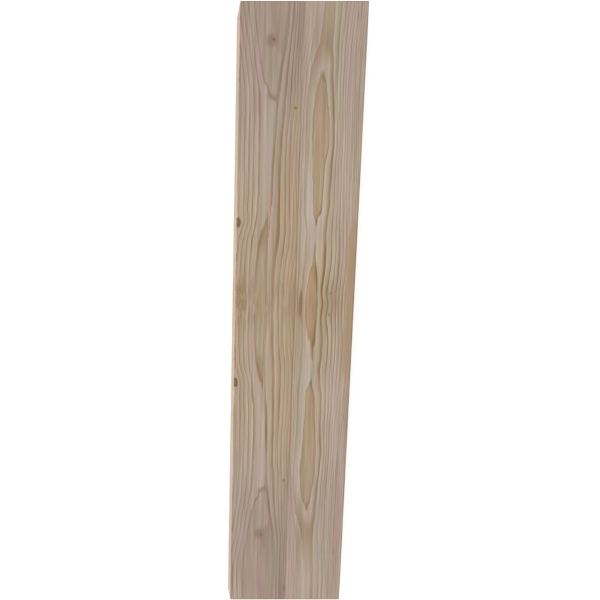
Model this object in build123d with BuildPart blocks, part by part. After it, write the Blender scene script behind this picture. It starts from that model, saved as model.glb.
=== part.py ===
from build123d import *
import os

# Dressed timber plank: one sawn board, planed on its four long faces and trimmed square at both ends.
# It lies flat on a broad face: X runs along its length, Y across its width and Z up through its thickness.
# The origin is the centre of the underside.

# Dressed section and trimmed length
length = 914.0
width = 184.0
thickness = 38.0

# Radius on the four long edges, which the planer eases
edge_radius = 1.5

# Sharp arris that is taken off around each end cut
end_arris = 0.4

# The section stands across the grain, on the plane of the first end cut
section_plane = Plane(
    origin=(-length / 2, 0, thickness / 2),
    x_dir=(0, 1, 0),
    z_dir=(1, 0, 0),
)

with BuildPart() as plank:
    with BuildSketch(section_plane):
        RectangleRounded(width, thickness, edge_radius)
    extrude(amount=length)

    end_cuts = plank.faces().filter_by(Plane.YZ)
    chamfer(end_cuts.edges(), length=end_arris)

plank.part.label = "plank"

os.makedirs("parts", exist_ok=True)
export_step(plank.part, "parts/plank.step")
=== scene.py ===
import bpy
import numpy as np
from mathutils import Matrix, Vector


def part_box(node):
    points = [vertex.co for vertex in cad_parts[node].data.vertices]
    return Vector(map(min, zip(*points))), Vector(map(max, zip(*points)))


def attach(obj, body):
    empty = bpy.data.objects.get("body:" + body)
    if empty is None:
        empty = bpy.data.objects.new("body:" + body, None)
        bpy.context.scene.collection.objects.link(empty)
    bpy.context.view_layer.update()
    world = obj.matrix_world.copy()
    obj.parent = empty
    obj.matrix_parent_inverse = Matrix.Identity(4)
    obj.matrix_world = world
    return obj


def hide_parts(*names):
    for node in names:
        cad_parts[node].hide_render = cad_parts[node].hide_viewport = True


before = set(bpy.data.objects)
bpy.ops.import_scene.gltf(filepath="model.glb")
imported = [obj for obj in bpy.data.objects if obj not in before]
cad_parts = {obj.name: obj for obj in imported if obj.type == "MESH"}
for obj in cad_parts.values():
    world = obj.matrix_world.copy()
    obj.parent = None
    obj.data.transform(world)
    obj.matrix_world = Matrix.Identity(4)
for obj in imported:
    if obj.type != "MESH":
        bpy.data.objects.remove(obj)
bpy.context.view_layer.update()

# The plank: one board of planed softwood, flat sawn, eased along its edges and trimmed square at both ends.
# Two hearts run below its top face, one under each half, and the rings that curve round them give the face
# two cathedral figures side by side.
MM = 0.001
plank_low, plank_high = (np.array(corner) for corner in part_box("plank"))
plank_length, plank_width, plank_thickness = plank_high - plank_low
edge_radius = 1.5 * MM
end_arris = 0.4 * MM

# The figure repeats both ways from a fold a little short of mid-length, and its halves meet along a seam.
# Places along the plank are shares of its length from the fold, so that its ends lie at 0.464 and 0.536.
# Places across are shares of its width from the front edge.
fold_share = 0.464
seam_share = 0.5
fold_x = plank_low[0] + fold_share * plank_length
seam_y = plank_low[1] + seam_share * plank_width
fold_softness = 5 * MM


def path(stops, along):
    """Cubic Hermite curve through (share, value) stops; the slope at each is taken from its neighbours."""
    shares, values = np.array(stops).T
    slopes = np.gradient(values, shares)
    i = np.clip(np.searchsorted(shares, along) - 1, 0, len(shares) - 2)
    span = shares[i + 1] - shares[i]
    t = np.clip((along - shares[i]) / span, 0, 1)
    start = (1 + 2 * t) * (1 - t) ** 2 * values[i] + t * (1 - t) ** 2 * span * slopes[i]
    end = t * t * (3 - 2 * t) * values[i + 1] + t * t * (t - 1) * span * slopes[i + 1]
    return start + end


def ease(low, high, at):
    """Smooth step from 0 at low to 1 at high: three squares less two cubes."""
    t = np.clip((at - low) / (high - low), 0, 1)
    return t * t * (3 - 2 * t)


def hill(at, centre, reach):
    """Bell curve: 1 at the centre, falling to 0.37 at the reach."""
    return np.exp(-(((at - centre) / reach) ** 2))


def patch(places, centres, reaches):
    """Bell-shaped patch: the product of one bell curve for each direction."""
    return np.prod([hill(*way) for way in zip(places, centres, reaches)], axis=0)


def wander(seed, x, y, x_wave, y_wave, terms=7):
    """Sum of sine waves in seeded directions and phases, about 1 high, with the given wavelengths."""
    turn = 2 * np.pi
    draw = np.random.default_rng(seed)
    paces = draw.uniform(0.5, 1.6, terms)
    tilts = draw.uniform(-1, 1, terms)
    phases = draw.uniform(0, turn, terms)
    total = np.zeros(len(x))
    for pace, tilt, phase in zip(paces, tilts, phases):
        total += np.sin(turn * (pace * x / x_wave + tilt * y / y_wave) + phase)
    return total / np.sqrt(terms)


def along_of(points):
    """Distance from the fold, as a share of the length, rounded off at the fold itself."""
    return (np.hypot(points[:, 0] - fold_x, fold_softness) - fold_softness) / plank_length


# Two knots on the front edge push the grain aside, it curls at the fold, and it wavers a little everywhere.
# Centres, reaches and wavelengths are along the plank and across it, from the fold and the front edge.
knot_push = 4.0 * MM
knot_push_centre, knot_push_reach = (121 * MM, 12 * MM), (17 * MM, 16 * MM)
curl_push, curl_push_seed, curl_push_waves = 1.3 * MM, 5, (30 * MM, 16 * MM)
curl_push_centre, curl_push_reach = (0, 25 * MM), (16 * MM, 40 * MM)
slow_waver, slow_seed, slow_waves = 0.45 * MM, 3, (160 * MM, 60 * MM)
quick_waver, quick_seed, quick_waves = 0.20 * MM, 4, (45 * MM, 25 * MM)


def across_of(points):
    """Place across as a share of the width, less what knots, curl and wavering push the grain aside by."""
    x, y = points[:, 0], points[:, 1] - plank_low[1]
    place = (np.abs(x - fold_x), y)
    curled = wander(curl_push_seed, x, y, *curl_push_waves)
    pushed = knot_push * patch(place, knot_push_centre, knot_push_reach)
    pushed += curl_push * patch(place, curl_push_centre, curl_push_reach) * curled
    pushed += slow_waver * wander(slow_seed, x, y, *slow_waves)
    pushed += quick_waver * wander(quick_seed, x, y, *quick_waves)
    return (y - pushed) / plank_width


def follow_ring(side, depth, heart_depth):
    """Follows the ring through a point below the face, a circle round the heart, up to the face. Gives the
    side distance where it comes out, and how far the point lies inside the ring that touches the face."""
    radius = np.hypot(side, heart_depth - depth)
    on_face = np.sign(side) * np.sqrt(np.clip(radius**2 - heart_depth**2, 0, None))
    return on_face, np.clip(heart_depth - radius, 0, None)


# Front half: the heart's place across; the growth on the face above it, and how far from it the wide pale
# ring reaches, both in ring widths; and the rings between the heart and the seam, even ones and closing ones
front_heart = (
    (0.000, 0.246), (0.109, 0.248), (0.140, 0.256), (0.164, 0.267), (0.213, 0.277), (0.263, 0.284),
    (0.318, 0.303), (0.363, 0.329), (0.409, 0.361), (0.464, 0.370), (0.536, 0.372),
)
front_rise = (
    (0.000, -1.20), (0.066, -0.95), (0.109, -0.43), (0.140, 0.03), (0.170, 0.13), (0.220, 0.17),
    (0.274, 0.13), (0.306, 0.07), (0.318, -0.13), (0.339, -1.65), (0.363, -2.80), (0.409, -4.75),
    (0.464, -6.00), (0.536, -5.80),
)
front_pale_reach = (
    (0.000, 2.53), (0.066, 2.27), (0.109, 1.92), (0.142, 1.54), (0.164, 1.54), (0.219, 1.67),
    (0.274, 2.00), (0.302, 2.36), (0.321, 2.68), (0.341, 3.22), (0.361, 3.90), (0.383, 4.80),
    (0.416, 6.20), (0.464, 7.40), (0.536, 7.20),
)
front_even_rings = (
    (0.000, 3.4), (0.055, 2.5), (0.109, 1.5), (0.164, 2.1), (0.219, 2.7), (0.263, 2.6),
    (0.295, 2.1), (0.328, 2.2), (0.383, 2.6), (0.536, 2.6),
)
front_closing_rings = 4.0
front_ring_width = 6.2 * MM
front_inner_width = 3.6 * MM
thin_ring_width = 3.2 * MM
front_heart_depth = 42.0 * MM
front_heart_rounding = 15.0 * MM

# The core inside the pale ring: the slope of its ring number, its drop at the rim and how sharp the drop is
core_slope, core_drop, core_sharpness = 0.15, 0.5, 1.5

# The arch of each end figure dips and lifts by part of a ring, at a place along and at a distance from the
# heart, and rings close round a curl near the front edge at the fold
arch_rings = 0.42
arch_dip_centre, arch_dip_reach = (0.325, -10 * MM), (0.010, 6 * MM)
arch_lift_centre, arch_lift_reach = (0.337, -8 * MM), (0.008, 7 * MM)
curl_rings = 2.2
curl_centre, curl_reach = (fold_x, plank_low[1] + 10 * MM), (13 * MM, 6 * MM)


def front_side(points):
    """Distance behind the front half's heart."""
    return (across_of(points) - path(front_heart, along_of(points))) * plank_width


def first_ring(growth, pale):
    """Ring number across the core, a slope plus a hyperbolic tangent, and evenly across the pale ring."""
    core = core_slope * growth + core_drop * np.tanh(core_sharpness * growth)
    return np.where(growth < 0, core, growth / pale)


def front_rings(points):
    """Ring number in the front half. In front of the heart it is a rounded cone over the distance from it,
    with a wide first ring; behind it comes one thin ring, then rings that close up towards the seam as a
    line plus a square."""
    along, depth = along_of(points), plank_high[2] - points[:, 2]
    side, inside = follow_ring(front_side(points), depth, front_heart_depth)
    rise = path(front_rise, along)
    pale = rise + path(front_pale_reach, along)
    growth = rise + (np.hypot(side, front_heart_rounding) - front_heart_rounding) / front_ring_width
    growth -= arch_rings * patch((along, side), arch_dip_centre, arch_dip_reach)
    growth += arch_rings * patch((along, side), arch_lift_centre, arch_lift_reach)
    outer = np.where(growth < pale, first_ring(growth, pale), growth - pale + 1)
    at_heart = first_ring(rise, pale)
    thin = at_heart + (1 - at_heart) * np.clip(side / thin_ring_width, 0, 1)
    to_seam = (seam_share - path(front_heart, along)) * plank_width
    q = np.clip(side - thin_ring_width, 0, None) / to_seam
    inner = thin + path(front_even_rings, along) * q + front_closing_rings * q**2
    curl = curl_rings * patch((points[:, 0], points[:, 1]), curl_centre, curl_reach)
    return np.where(side < 0, outer, inner) - inside / front_inner_width + curl


# Strength of the dark line that runs along the front half's heart, and its reach across and down
heart_line_strength = (
    (0.000, 0.25), (0.109, 0.35), (0.135, 0.15), (0.150, 0.30), (0.164, 0.65), (0.190, 0.90),
    (0.219, 1.00), (0.240, 0.75), (0.258, 0.25), (0.275, 0.25), (0.300, 0.50), (0.325, 0.70),
    (0.350, 0.80), (0.420, 0.40), (0.536, 0.30),
)
heart_line_reach = 1.9 * MM
heart_line_depth = 7 * MM


def heart_line(points):
    """Bell curve across the thin ring behind the front half's heart, fading with depth as another."""
    across = hill(front_side(points), 0.5 * thin_ring_width, heart_line_reach)
    below = hill(plank_high[2] - points[:, 2], 0, heart_line_depth)
    return across * below * path(heart_line_strength, along_of(points))


# Back half: the heart's place across; the growth on the face above it, in ring widths; the ring width in mm;
# the pace at which rings after the first are counted; and the middle figure's bulge to the front, in rings
back_heart = (
    (0.000, 0.656), (0.066, 0.657), (0.109, 0.653), (0.142, 0.653), (0.164, 0.655), (0.186, 0.657),
    (0.208, 0.655), (0.233, 0.660), (0.252, 0.661), (0.274, 0.658), (0.306, 0.655), (0.328, 0.656),
    (0.361, 0.663), (0.394, 0.677), (0.429, 0.693), (0.464, 0.704), (0.536, 0.708),
)
back_rise = (
    (0.000, -0.27), (0.022, -0.17), (0.044, -0.09), (0.055, -0.07), (0.066, -0.03), (0.077, -0.01),
    (0.088, 0.00), (0.098, 0.04), (0.109, 0.08), (0.120, 0.02), (0.131, -0.04), (0.137, -0.10),
    (0.142, -0.17), (0.153, -0.22), (0.164, -0.25), (0.186, -0.28), (0.208, -0.37), (0.224, -0.40),
    (0.233, -0.47), (0.252, -0.58), (0.274, -0.60), (0.290, -0.60), (0.306, -0.46), (0.328, -0.32),
    (0.339, -0.18), (0.350, -0.04), (0.356, -0.01), (0.361, 0.01), (0.370, 0.15), (0.383, 0.38),
    (0.396, 0.56), (0.429, 0.66), (0.536, 0.80),
)
back_ring_width = ((0.000, 2.15), (0.100, 2.45), (0.250, 2.60), (0.536, 2.70))
back_pace = ((0.000, 0.66), (0.100, 0.66), (0.160, 0.80), (0.220, 1.00), (0.536, 1.00))
back_bulge = (
    (0.000, 0.56), (0.022, 0.32), (0.044, 0.24), (0.055, 0.15), (0.066, 0.02), (0.080, 0.00), (0.536, 0.00),
)
back_bulge_side, back_bulge_reach = -9 * MM, 5 * MM
back_heart_depth = 45.0 * MM

# How far the first rings are pushed aside behind the back half's heart and in front of it, in mm
push_behind = (
    (0.000, -0.5), (0.019, -2.8), (0.035, -0.3), (0.066, 2.0), (0.109, 1.4), (0.164, 2.8),
    (0.219, 2.2), (0.274, 1.6), (0.328, 0.5), (0.390, 0.0), (0.536, 0.0),
)
push_behind_side, push_behind_reach = 19 * MM, 10 * MM
push_before = -2.5
push_before_side, push_before_reach = -20 * MM, 8 * MM


def back_side(points):
    """Distance behind the back half's heart, less a bell-shaped push to the first rings on each side."""
    along = along_of(points)
    side = (across_of(points) - path(back_heart, along)) * plank_width
    pushed = path(push_behind, along) * hill(side, push_behind_side, push_behind_reach)
    pushed += push_before * hill(side, push_before_side, push_before_reach)
    return side - MM * pushed


def back_rings(points):
    """Ring number in the back half: distance from a heart below the face over the ring width, with the
    middle figure bulging to the front, and with wider rings after the first near the fold."""
    along, side = along_of(points), back_side(points)
    radius = np.hypot(side, back_heart_depth - (plank_high[2] - points[:, 2]))
    growth = path(back_rise, along) + (radius - back_heart_depth) / (MM * path(back_ring_width, along))
    number = growth - path(back_bulge, along) * hill(side, back_bulge_side, back_bulge_reach)
    return np.minimum(number, 1) + path(back_pace, along) * np.clip(number - 1, 0, None)


# Broad tones of each half: place along and across, reach along and across, and gain on red, green and blue
front_tones = (
    ((0.00, 0.25), (0.10, 0.60), (0.990, 0.974, 0.948)),
    ((0.47, 0.25), (0.17, 0.60), (0.945, 0.935, 0.940)),
    ((0.38, 0.26), (0.06, 0.08), (0.965, 0.960, 0.960)),
    ((0.50, 0.48), (0.22, 0.09), (0.940, 0.935, 0.930)),
    ((0.15, 0.40), (0.14, 0.09), (1.000, 0.993, 0.945)),
    ((0.24, 0.22), (0.09, 0.06), (1.010, 1.024, 1.032)),
    ((0.04, 0.21), (0.04, 0.07), (1.000, 1.018, 1.085)),
    ((0.28, 0.475), (0.20, 0.035), (0.960, 0.958, 0.920)),
    ((0.28, 0.04), (0.07, 0.05), (0.968, 0.972, 0.972)),
    ((0.36, 0.34), (0.06, 0.03), (1.025, 1.030, 1.050)),
    ((0.53, 0.05), (0.035, 0.08), (1.055, 1.055, 1.060)),
)
back_tones = (
    ((0.20, 0.75), (0.15, 0.60), (1.000, 1.005, 1.025)),
    ((0.00, 0.75), (0.09, 0.60), (0.995, 0.980, 0.955)),
    ((0.47, 0.75), (0.12, 0.60), (0.990, 0.985, 0.987)),
    ((0.13, 0.59), (0.08, 0.05), (1.012, 1.045, 1.090)),
    ((0.05, 0.85), (0.08, 0.06), (1.013, 1.022, 1.065)),
    ((0.395, 0.65), (0.055, 0.07), (0.965, 0.955, 0.925)),
    ((0.50, 0.62), (0.04, 0.10), (1.035, 1.040, 1.050)),
    ((0.37, 0.92), (0.06, 0.06), (0.980, 0.970, 0.965)),
    ((0.16, 0.53), (0.25, 0.03), (0.975, 0.974, 0.955)),
    ((0.11, 0.725), (0.04, 0.03), (1.035, 1.035, 1.055)),
    ((0.46, 0.72), (0.05, 0.03), (1.045, 1.045, 1.050)),
    ((0.18, 0.97), (0.05, 0.04), (0.968, 0.966, 0.948)),
)
screen_gamma = 2.2


def wash(points):
    """Gain on the wood's colour: one bell-shaped patch for each broad tone of its half, multiplied together
    as seen on a screen and then made linear."""
    along, across = along_of(points), (points[:, 1] - plank_low[1]) / plank_width
    gain = np.ones((len(points), 4))
    for tones, here in ((front_tones, across < seam_share), (back_tones, across >= seam_share)):
        for centre, reach, change in tones:
            weight = here * patch((along, across), centre, reach)
            gain[:, :3] *= 1 + weight[:, None] * (np.array(change) - 1)
    return gain**screen_gamma


# Strength of the late wood in front of the heart of each half and behind it, and how it grows and fades:
# amounts first, then places and reaches
front_gain_before, front_gain_behind = 0.85, 0.95
front_fold_fade, front_fold_reach = 0.4, 0.08
figure_fade, figure_from, figure_to, figure_across, figure_reach = 0.3, 0.40, 0.46, 0.20, 0.17
beside_growth, beside_along, beside_reach, beside_rise = 0.3, 0.34, 0.09, 6 * MM
back_gain_before, back_gain_behind = 0.5, 1.0
back_fold_growth, back_fold_reach = 0.4, 0.06
back_end_fade, back_end_from, back_end_to = 0.3, 0.43, 0.50
heart_fade, heart_fade_from, heart_fade_to, heart_fade_reach = 0.7, 0.385, 0.43, 15 * MM
back_dip, back_dip_along, back_dip_reach = 0.12, 0.17, 0.05
back_swell, back_swell_along, back_swell_reach = 0.2, 0.29, 0.06


def line_gain(points):
    """How strongly the late wood shows, as smooth steps and bell curves along and across. In the front half
    it fades at the fold and in the end figures, and grows behind the heart beside them. In the back half it
    is weak in front of the heart, grows at the fold, dips and grows again on the way, and fades at the ends,
    most of all over the heart."""
    along, front, back = along_of(points), front_side(points), back_side(points)
    in_figure = ease(figure_from, figure_to, along) * hill(across_of(points), figure_across, figure_reach)
    beside_figure = hill(along, beside_along, beside_reach) * ease(0, beside_rise, front)
    front_gain = np.where(front < 0, front_gain_before, front_gain_behind)
    front_gain = front_gain * (1 - front_fold_fade * hill(along, 0, front_fold_reach))
    front_gain = (front_gain - figure_fade * in_figure) * (1 + beside_growth * beside_figure)
    over_heart = ease(heart_fade_from, heart_fade_to, along) * hill(back, 0, heart_fade_reach)
    dip = back_dip * hill(along, back_dip_along, back_dip_reach)
    swell = back_swell * hill(along, back_swell_along, back_swell_reach)
    back_gain = np.where(back < 0, back_gain_before, back_gain_behind) * (1 - dip + swell)
    back_gain = back_gain * (1 + back_fold_growth * hill(along, 0, back_fold_reach))
    back_gain = back_gain * (1 - back_end_fade * ease(back_end_from, back_end_to, along))
    back_gain = back_gain * (1 - heart_fade * over_heart)
    return np.where(points[:, 1] < seam_y, front_gain, back_gain)


def behind_heart(points):
    """One behind the heart of each half, where the first rings are bold, and nothing in front of it."""
    return np.where(points[:, 1] < seam_y, front_side(points) > 0, back_side(points) > 0).astype(float)


# Where the warm wood round the fold starts to cool, and where it is quite cool
warm_to, cool_from = 0.14, 0.40


def warmth(points):
    """How warm and strong the dark wood is: a smooth step down from the fold towards the ends."""
    return 1 - ease(warm_to, cool_from, along_of(points))


# The mesh: a lattice of stations along, across and through the plank, of which only the surface is kept
along_count, across_count, through_count = 200, 156, 30
edge_turns = (15, 30, 45)


def stations(low, high, count, radius):
    """Even stations between two rounded edges, and closer ones on each, at the tangents of even turns."""
    arc = radius * np.tan(np.radians(edge_turns))
    even = np.linspace(low + radius, high - radius, count)
    return np.concatenate((low + radius - arc[::-1], even, high - radius + arc))


def rounded(points, at_end):
    """Section with rounded edges: a point outside the core of the box is drawn in to the edge radius round
    it. At the two end cuts the section is drawn in by the arris."""
    nearly_none = 1e-12
    half = np.array((plank_width, plank_thickness)) / 2
    centre = (plank_low[1:] + plank_high[1:]) / 2
    across = points[:, 1:] - centre
    core = np.clip(across, -(half - edge_radius), half - edge_radius)
    out = across - core
    reach = np.linalg.norm(out, axis=1, keepdims=True)
    out = out * np.abs(out).max(axis=1, keepdims=True) / np.maximum(reach, nearly_none)
    across = (core + out) * np.where(at_end[:, None], 1 - end_arris / half, 1)
    return np.column_stack((points[:, 0], centre + across))


xs = np.concatenate((
    [plank_low[0]],
    np.linspace(plank_low[0] + end_arris, plank_high[0] - end_arris, along_count),
    [plank_high[0]],
))
ys = stations(plank_low[1], plank_high[1], across_count, edge_radius)
zs = stations(plank_low[2], plank_high[2], through_count, edge_radius)
lattice = np.zeros((len(xs), len(ys), len(zs)), int)
on_surface = np.ones(lattice.shape, bool)
on_surface[1:-1, 1:-1, 1:-1] = False
place = np.argwhere(on_surface)
lattice[on_surface] = np.arange(len(place))
corners = np.column_stack((xs[place[:, 0]], ys[place[:, 1]], zs[place[:, 2]]))
at_end = (place[:, 0] == 0) | (place[:, 0] == len(xs) - 1)
points = rounded(corners, at_end)


def quads(grid):
    """The four corners of each cell of a grid, in turn."""
    return np.stack((grid[:-1, :-1], grid[1:, :-1], grid[1:, 1:], grid[:-1, 1:]), axis=-1).reshape(-1, 4)


# Each face of the lattice, turned to point outwards, and its place on the sheet that holds all six: left,
# low, wide and high
faces = (
    (lattice[:, :, -1], (0.0, 0.00, 1.0, 0.36)),
    (lattice[:, ::-1, 0], (0.0, 0.37, 1.0, 0.36)),
    (lattice[:, 0, :], (0.0, 0.74, 1.0, 0.08)),
    (lattice[:, -1, ::-1], (0.0, 0.83, 1.0, 0.08)),
    (lattice[0, ::-1, :], (0.0, 0.92, 0.49, 0.08)),
    (lattice[-1, :, :], (0.51, 0.92, 0.49, 0.08)),
)
cells, sheet = [], []
for grid, (left, low, wide, high) in faces:
    cells.append(quads(grid))
    u, v = np.meshgrid(np.linspace(0, 1, grid.shape[0]), np.linspace(0, 1, grid.shape[1]), indexing="ij")
    spots = np.stack((left + wide * u, low + high * v), axis=-1).reshape(-1, 2)
    sheet.append(spots[quads(np.arange(grid.size).reshape(grid.shape))])
cells, sheet = np.concatenate(cells), np.concatenate(sheet)

plank_mesh = bpy.data.meshes.new("plank_board")
plank_mesh.from_pydata(points, [], cells)
plank_mesh.polygons.foreach_set("use_smooth", np.ones(len(cells), bool))
plank_mesh.uv_layers.new(name="OFBake").uv.foreach_set("vector", sheet.ravel())
fields = {
    "front_ring": front_rings,
    "back_ring": back_rings,
    "heart_line": heart_line,
    "line_gain": line_gain,
    "behind_heart": behind_heart,
    "warmth": warmth,
}
for name, field in fields.items():
    numbers = field(points).astype(np.float32)
    plank_mesh.attributes.new(name, "FLOAT", "POINT").data.foreach_set("value", numbers)
gains = wash(points).astype(np.float32).ravel()
plank_mesh.attributes.new("wash", "FLOAT_COLOR", "POINT").data.foreach_set("color", gains)
plank_mesh.update()

plank_board = bpy.data.objects.new("plank_board", plank_mesh)
bpy.context.scene.collection.objects.link(plank_board)

wood = bpy.data.materials.new("planed_softwood")
wood.use_nodes = True
wood.node_tree.nodes.clear()


def shade(colour):
    """A colour as it is seen on a screen, 0 to 255, made linear by the usual curve for screens."""
    seen = np.array(colour) / 255
    linear = np.where(seen <= 0.04045, seen / 12.92, ((seen + 0.055) / 1.055) ** 2.4)
    return (*linear, 1.0)


def node(kind, settings, *inputs):
    """A new node of the wood, with its settings; each input is set to a value, joined to an output or left
    alone."""
    made = wood.node_tree.nodes.new(kind)
    for key, value in settings.items():
        setattr(made, key, value)
    for socket, value in zip(made.inputs, inputs):
        if isinstance(value, bpy.types.NodeSocket):
            wood.node_tree.links.new(value, socket)
        elif value is not None:
            socket.default_value = value
    return made


def maths(operation, *values):
    """One sum on numbers."""
    return node("ShaderNodeMath", {"operation": operation}, *values).outputs[0]


def vector_maths(operation, *values):
    """One sum on vectors."""
    return node("ShaderNodeVectorMath", {"operation": operation}, *values).outputs[0]


def product(first, *others):
    """Numbers multiplied together."""
    for other in others:
        first = maths("MULTIPLY", first, other)
    return first


def swing(noise, amount, middle):
    """A number that swings about its middle: the middle plus the amount times a noise less 0.5."""
    return maths("MULTIPLY_ADD", maths("SUBTRACT", noise, 0.5), amount, middle)


def step(value, low, high, from_value=0.0, to_value=1.0):
    """Smooth step of a number from one value to another as it goes from low to high."""
    settings = {"interpolation_type": "SMOOTHSTEP"}
    return node("ShaderNodeMapRange", settings, value, low, high, from_value, to_value).outputs[0]


def mix(share, below, above):
    """Two numbers mixed by a share."""
    return node("ShaderNodeMix", {"data_type": "FLOAT"}, share, None, below, above).outputs[0]


def blend(share, below, above, kind="MIX"):
    """Two colours mixed by a share."""
    settings = {"data_type": "RGBA", "blend_type": kind}
    return node("ShaderNodeMix", settings, share, None, None, None, None, None, below, above).outputs[2]


def tint(colour, gain, share=1.0):
    """A colour multiplied by a gain, or by a share of it."""
    return blend(share, colour, gain, "MULTIPLY")


def attribute(name, output="Fac"):
    """A value kept on the mesh."""
    return node("ShaderNodeAttribute", {"attribute_name": name}).outputs[output]


spot = node("ShaderNodeTexCoord", {}).outputs["Object"]
spot_x, spot_y, spot_z = node("ShaderNodeSeparateXYZ", {}, spot).outputs


def grain(cells_to_metre, detail=2.0, output="Fac"):
    """Noise about 0.5, with the given number of cells to a metre in x, y and z, so that few draw it out."""
    drawn = vector_maths("MULTIPLY", spot, cells_to_metre)
    return node("ShaderNodeTexNoise", {}, drawn, None, 1.0, detail).outputs[output]


streak = grain((6, 300, 300), 3.0)
fibre = grain((16, 800, 800), 3.0)
band = grain((3, 80, 80))
cloud = grain((14, 30, 30), 3.0)
hue = grain((6, 120, 120), 3.0)
warm = attribute("warmth")
behind = attribute("behind_heart")
strength = attribute("line_gain")


def inset(size, place):
    """Distance in from the nearer of two faces: half the size less the distance from the middle."""
    return maths("SUBTRACT", float(size / 2), maths("ABSOLUTE", place))


mid_z = float(plank_low[2] + plank_thickness / 2)
in_from_end = inset(plank_length, spot_x)
in_from_side = inset(plank_width, spot_y)
in_from_face = inset(plank_thickness, maths("SUBTRACT", spot_z, mid_z))
on_end = maths("LESS_THAN", in_from_end, 0.5 * end_arris)

# Growth rings, whose number is a little uneven along the grain. A flag, 0 or 1, marks each kind of ring
# that differs from the plain ones: the core inside the first ring, the wide pale ring and the bold ones.
face_unevenness, end_unevenness = 0.28, 0.04
in_back = maths("GREATER_THAN", spot_y, float(seam_y))
in_front = maths("SUBTRACT", 1.0, in_back)
true_ring = mix(in_back, attribute("front_ring"), attribute("back_ring"))
ring = swing(streak, mix(on_end, face_unevenness, end_unevenness), true_ring)
phase = maths("FRACT", ring)
ring_index = maths("FLOOR", ring)
in_core, is_first, is_second = (maths("COMPARE", ring_index, index, 0.1) for index in (-1.0, 0.0, 1.0))
front_core, back_core = product(in_core, in_front), product(in_core, in_back)
is_wide, first_back = product(is_first, in_front), product(is_first, in_back)
is_bold = product(maths("ADD", first_back, product(is_second, in_front)), behind)
is_plain = maths("SUBTRACT", 1.0, maths("MAXIMUM", is_wide, in_core))


def by_kind(plain, *kinds):
    """The plain value, or the value of the one kind, given with its flag, that a ring is of."""
    value = plain
    for flag, of_kind in kinds:
        value = maths("MULTIPLY_ADD", flag, of_kind - plain, value)
    return value


# Late wood: where it starts and is full, as shares of the ring; it stops sharply at the end of the ring
late_start = by_kind(0.58, (is_bold, 0.43), (is_wide, 0.66), (front_core, 0.60), (back_core, 0.85))
late_full = by_kind(0.93, (is_bold, 0.73), (is_wide, 0.85), (front_core, 0.83), (back_core, 0.96))
late_stop = 0.965
late = product(step(phase, late_start, late_full), step(phase, late_stop, 1.0, 1.0, 0.0))

# Its strength is drawn by lot for each ring, falls off in the back half's outer rings, and has a least value
# in the first ones
back_draws = 40.0
ring_key = maths("MULTIPLY_ADD", in_back, back_draws, ring_index)
ring_draw = node("ShaderNodeTexWhiteNoise", {"noise_dimensions": "1D"}, None, ring_key).outputs[0]
ring_far = step(product(ring_index, in_back), 3.0, 9.0, 1.0, 0.7)
ring_weight = product(mix(ring_draw, 0.5, 0.95), ring_far)
for flag, least in ((first_back, 0.8), (is_wide, 0.9), (is_second, 0.8), (in_core, 0.85)):
    ring_weight = maths("MAXIMUM", ring_weight, product(flag, least))
line_weight = product(ring_weight, mix(warm, 0.7, 1.0), strength)
line = product(late, line_weight, step(cloud, 0.25, 0.7, 0.6, 1.1))

# Colours, each from cool to warm: a ring starts pale and turns to early wood, then to tan and to late wood
pale_wood = blend(warm, shade((189, 175, 162)), shade((192, 178, 160)))
early_wood = blend(warm, shade((180, 162, 147)), shade((181, 163, 144)))
tan_wood = blend(warm, shade((169, 148, 124)), shade((178, 151, 115)))
cool_late = blend(product(behind, in_front), shade((138, 110, 84)), shade((134, 113, 80)))
warm_late = blend(in_back, shade((143, 111, 78)), shade((139, 103, 67)))
late_wood = blend(warm, cool_late, warm_late)
pale_share = product(step(phase, 0.05, 0.3, 0.6, 0.0), is_plain)
tan_side = maths("MAXIMUM", behind, step(warm, 0.12, 0.3, 1.0, 0.0))
first_tan = product(first_back, tan_side, step(strength, 0.1, 0.5, 0.0, 0.35))
tan_full = mix(is_first, 0.7, 0.52)
tan_share = product(step(phase, 0.3, tan_full), maths("ADD", first_tan, 0.3), is_plain)
core_tan = mix(in_back, mix(warm, 0.3, 0.45), 0.9)
tan_share = maths("MAXIMUM", tan_share, product(in_core, core_tan))
body = blend(tan_share, blend(pale_share, early_wood, pale_wood), tan_wood)
body = blend(line, body, late_wood)
body = blend(attribute("heart_line"), body, late_wood)

# Streaks along the grain: broad bands, pale and dark lines, fine fibres, and patches of pinker and yellower
# wood. Darker streaks are browner, since green and blue fall off by higher powers than red.
grain_gain = product(swing(streak, 0.55, 1.0), swing(band, 0.35, 1.0), swing(fibre, 0.6, 1.0))
green_gain, blue_gain = (maths("POWER", grain_gain, power) for power in (1.2, 1.45))
grain_tint = node("ShaderNodeCombineXYZ", {}, grain_gain, green_gain, blue_gain).outputs[0]
pinker, yellower = (1.037, 0.982, 1.028, 1), (0.972, 1.003, 0.945, 1)
hue_tint = blend(step(hue, 0.35, 0.65), pinker, yellower)
for gain in (grain_tint, hue_tint, attribute("wash", "Color")):
    body = tint(body, gain)

# Curly, browner wood round the fold, strongest near the front edge
curly_brown = shade((152, 122, 92))
curly_near, curly_far = 16 * MM, 58 * MM
curly_edge, curly_inner = 20 * MM, 34 * MM
off_fold = maths("ABSOLUTE", maths("SUBTRACT", spot_x, float(fold_x)))
from_front = maths("SUBTRACT", spot_y, float(plank_low[1]))
curly = product(
    step(off_fold, curly_near, curly_far, 1.0, 0.0),
    step(grain((25, 320, 320), 3.0), 0.45, 0.58, 0.0, 0.7),
    step(from_front, curly_edge, curly_inner, 1.0, 0.5),
)
body = blend(curly, body, curly_brown)

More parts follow.
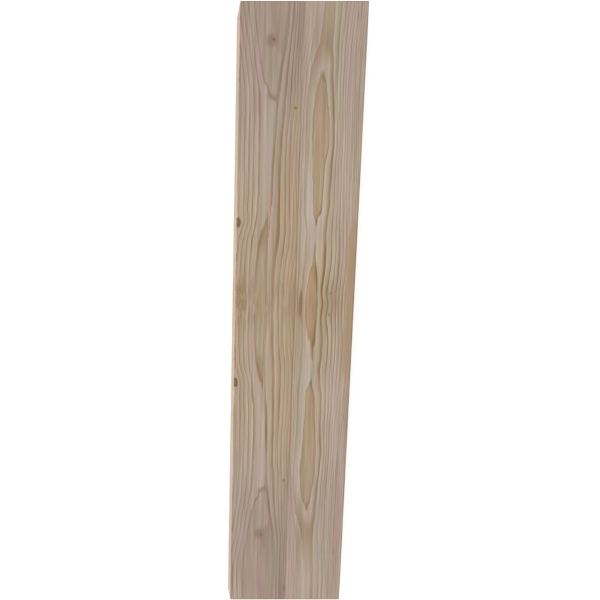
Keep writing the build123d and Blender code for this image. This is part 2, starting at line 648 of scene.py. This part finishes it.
# Brown line along the seam, where the figure changes, strongest round the fold
seam_brown = shade((150, 113, 86))
seam_full, seam_none = 0.3 * MM, 1.4 * MM
off_seam = maths("ABSOLUTE", maths("SUBTRACT", spot_y, float(seam_y)))
seam = product(step(off_seam, seam_full, seam_none, 0.75, 0.0), step(warm, 0.2, 0.9, 0.4, 1.0))
body = blend(seam, body, seam_brown)

# Knots and marks on the top face, soft ones first and the dark hearts over them: distances from the fold,
# place across, reach in x, y and z, all in mm, then the share and softness of the mark, and its colour
marks = (
    ((-200,), 44, (70, 9, 20), 0.45, 0.8, (189, 174, 159)),
    ((62,), 134, (38, 9, 20), 0.30, 0.8, (186, 164, 142)),
    ((0,), 186, (104, 17, 26), 0.70, 0.2, (168, 143, 113)),
    ((-72, 72), 186, (56, 20, 26), 0.65, 0.2, (168, 143, 113)),
    ((0,), 150, (24, 9, 14), 0.45, 0.5, (160, 134, 106)),
    ((0,), 91, (26, 13, 20), 0.30, 0.6, (148, 122, 90)),
    ((-97, 97), 40, (20, 6, 12), 0.40, 0.5, (150, 116, 94)),
    ((-298, 298), 47, (5.5, 6.5, 10), 0.50, 0.8, (146, 120, 98)),
    ((0,), 101.5, (25, 3.0, 20), 0.75, 0.4, (138, 102, 74)),
    ((0,), 12, (11, 5, 12), 0.55, 0.5, (154, 128, 99)),
    ((-373, 373), 46, (10, 8.5, 16), 0.75, 0.6, (146, 115, 104)),
    ((-374, 374), 49, (1.9, 1.7, 10), 0.75, 0.5, (116, 82, 70)),
    ((-281, 281), 85, (7.5, 4.6, 12), 0.45, 0.6, (176, 155, 112)),
    ((-282, 282), 84, (2.9, 2.3, 9), 0.65, 0.5, (112, 92, 64)),
    ((-16, 16), 147, (2.6, 3.0, 6), 0.60, 0.5, (140, 118, 96)),
    ((-404, 404), 169.5, (8, 2.2, 8), 0.60, 0.6, (150, 134, 92)),
    ((469,), 90, (6.5, 1.4, 9), 0.80, 0.5, (136, 100, 76)),
    ((-121.5, 121.5), 2.0, (7.8, 4.6, 4), 0.85, 0.3, (104, 76, 46)),
    ((-121.5, 121.5), 0.9, (4.6, 3.0, 3), 0.80, 0.5, (146, 116, 86)),
)
jitter_reach = (5 * MM, 3 * MM, 3 * MM)
jitter = vector_maths("SUBTRACT", grain((260, 260, 260), 2.0, "Color"), (0.5, 0.5, 0.5))
shaken = vector_maths("ADD", spot, vector_maths("MULTIPLY", jitter, jitter_reach))
for distances, mark_across, reach, share, softness, colour in marks:
    for distance in distances:
        centre = (fold_x + distance * MM, plank_low[1] + mark_across * MM, plank_high[2])
        offset = vector_maths("SUBTRACT", shaken, centre)
        span = vector_maths("DIVIDE", offset, [side * MM for side in reach])
        away = node("ShaderNodeVectorMath", {"operation": "LENGTH"}, span).outputs["Value"]
        body = blend(step(away, 1 - softness, 1 + softness / 2, share, 0.0), body, shade(colour))

# Painted shade along the arrises: the eased edges are darkened in colour, unevenly along their length, and
# the rims of the end cuts a little less so
edge_shade = (0.65, 0.625, 0.58, 1)
edge_shade_full, edge_shade_none = 1.1 * MM, 2.7 * MM
rim_relief = 0.6 * MM
off_edge = maths("ADD", in_from_side, in_from_face)
off_rim = maths("ADD", in_from_end, maths("MINIMUM", in_from_side, in_from_face))
off_arris = maths("MINIMUM", off_edge, maths("ADD", off_rim, rim_relief))
edge_shade_share = product(step(off_arris, edge_shade_full, edge_shade_none, 1.0, 0.0), step(cloud, 0.35, 0.6, 0.45, 1.0))
# Painted shade: the colour is darkened along the arrises
body = tint(body, edge_shade, edge_shade_share)

# End cuts: darker, with the late wood cut straight across, fine pores and the marks of the saw
end_late_wood, end_late_share = shade((138, 100, 66)), 0.6
saw = grain((1, 500, 25))
pores = grain((900, 900, 900))
end_gain = product(step(saw, 0.3, 0.7, 0.82, 0.94), step(pores, 0.3, 0.7, 0.92, 1.06))
end_body = blend(product(late, end_late_share), body, end_late_wood)
body = blend(on_end, body, tint(end_body, end_gain))

# Planed finish: late wood stands a hair proud and is a little smoother than early wood, and fibres are felt
# along it
early_roughness, late_smoothing, streak_roughness = 0.62, -0.1, 0.3
fibre_relief, late_relief = 0.6, 0.5
relief_strength, relief_height = 0.25, 0.2 * MM
shader = node("ShaderNodeBsdfPrincipled", {}, body)
rough = swing(streak, streak_roughness, maths("MULTIPLY_ADD", line, late_smoothing, early_roughness))
wood.node_tree.links.new(rough, shader.inputs["Roughness"])
relief = maths("MULTIPLY_ADD", fibre, fibre_relief, product(late, late_relief))
bump = node("ShaderNodeBump", {}, relief_strength, relief_height)
wood.node_tree.links.new(relief, bump.inputs["Height"])
wood.node_tree.links.new(bump.outputs[0], shader.inputs["Normal"])
shader.inputs["Specular IOR Level"].default_value = 0.3
node("ShaderNodeOutputMaterial", {}, shader.outputs[0])
plank_mesh.materials.append(wood)

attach(plank_board, "root")
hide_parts("plank")

# The floor: a broad pale sheet that the plank lies on, with no joint to the plank.
# It shows white to the camera and keeps the plank's shadow.
floor_reach = 12 * plank_length
floor_glow = 0.46
floor_turns = ((-1, -1), (1, -1), (1, 1), (-1, 1))
floor_corners = [(x * floor_reach, y * floor_reach, plank_low[2]) for x, y in floor_turns]
floor_mesh = bpy.data.meshes.new("floor")
floor_mesh.from_pydata(floor_corners, [], [(0, 1, 2, 3)])
floor = bpy.data.objects.new("floor", floor_mesh)
bpy.context.scene.collection.objects.link(floor)
paper = bpy.data.materials.new("white_paper")
paper.use_nodes = True
paper_nodes, paper_links = paper.node_tree.nodes, paper.node_tree.links
paper_nodes.clear()
paper_diffuse = paper_nodes.new("ShaderNodeBsdfDiffuse")
paper_diffuse.inputs["Color"].default_value = (0.8, 0.8, 0.8, 1)
paper_glow = paper_nodes.new("ShaderNodeEmission")


def seen_rays(tree):
    """One for rays that reach the eye straight or by way of gloss or glass, nothing for rays that light the
    plank: the greatest of three flags."""
    rays = tree.nodes.new("ShaderNodeLightPath").outputs
    straight_or_gloss = tree.nodes.new("ShaderNodeMath")
    straight_or_gloss.operation = "MAXIMUM"
    tree.links.new(rays["Is Camera Ray"], straight_or_gloss.inputs[0])
    tree.links.new(rays["Is Glossy Ray"], straight_or_gloss.inputs[1])
    seen = tree.nodes.new("ShaderNodeMath")
    seen.operation = "MAXIMUM"
    tree.links.new(straight_or_gloss.outputs[0], seen.inputs[0])
    tree.links.new(rays["Is Transmission Ray"], seen.inputs[1])
    return seen.outputs[0]


paper_strength = paper_nodes.new("ShaderNodeMath")
paper_strength.operation = "MULTIPLY"
paper_strength.inputs[1].default_value = floor_glow
paper_links.new(seen_rays(paper.node_tree), paper_strength.inputs[0])
paper_links.new(paper_strength.outputs[0], paper_glow.inputs["Strength"])
paper_both = paper_nodes.new("ShaderNodeAddShader")
paper_links.new(paper_diffuse.outputs[0], paper_both.inputs[0])
paper_links.new(paper_glow.outputs[0], paper_both.inputs[1])
paper_out = paper_nodes.new("ShaderNodeOutputMaterial")
paper_links.new(paper_both.outputs[0], paper_out.inputs["Surface"])
floor_mesh.materials.append(paper)

# The light: an even sky all round, a little dimmer to the plank than the white that shows, and one broad
# soft lamp, hung low on the front side, which brightens the front edge.
sky = bpy.data.worlds.new("even_sky")
sky.use_nodes = True
sky_nodes, sky_links = sky.node_tree.nodes, sky.node_tree.links
sky_light = sky_nodes["Background"]
sky_light.inputs["Color"].default_value = (1, 1, 1, 1)
sky_light.inputs["Strength"].default_value = 0.81
sky_white = sky_nodes.new("ShaderNodeBackground")
sky_white.inputs["Color"].default_value = (1, 1, 1, 1)
sky_white.inputs["Strength"].default_value = 1.0
sky_pick = sky_nodes.new("ShaderNodeMixShader")
sky_links.new(seen_rays(sky.node_tree), sky_pick.inputs[0])
sky_links.new(sky_light.outputs[0], sky_pick.inputs[1])
sky_links.new(sky_white.outputs[0], sky_pick.inputs[2])
sky_links.new(sky_pick.outputs[0], sky_nodes["World Output"].inputs["Surface"])
bpy.context.scene.world = sky

lamp_lean = np.radians(78)
lamp_data = bpy.data.lights.new("front_lamp", "SUN")
lamp_data.energy = 2.0
lamp_data.angle = 0.5
lamp = bpy.data.objects.new("front_lamp", lamp_data)
lamp.rotation_euler = (lamp_lean, 0, 0)
bpy.context.scene.collection.objects.link(lamp)

# The camera: about three quarters of a metre up, out beyond the front edge and near mid-length.
# It is tipped a little towards the right end, and its frame is shifted on to the plank.
camera_x, camera_y, camera_z = 0.0161, -0.1830, 0.7733
tip = np.radians(7.80)
camera_data = bpy.data.cameras.new("camera")
camera_data.sensor_width = 36
camera_data.lens = 28.0
camera_data.shift_x = 0.206
camera_data.shift_y = 0.1667
camera = bpy.data.objects.new("camera", camera_data)
bpy.context.scene.collection.objects.link(camera)
camera.matrix_world = Matrix((
    (0, -np.cos(tip), -np.sin(tip), camera_x),
    (1, 0, 0, camera_y),
    (0, -np.sin(tip), np.cos(tip), camera_z),
    (0, 0, 0, 1),
))
bpy.context.scene.camera = camera
bpy.context.scene.view_settings.view_transform = "Standard"
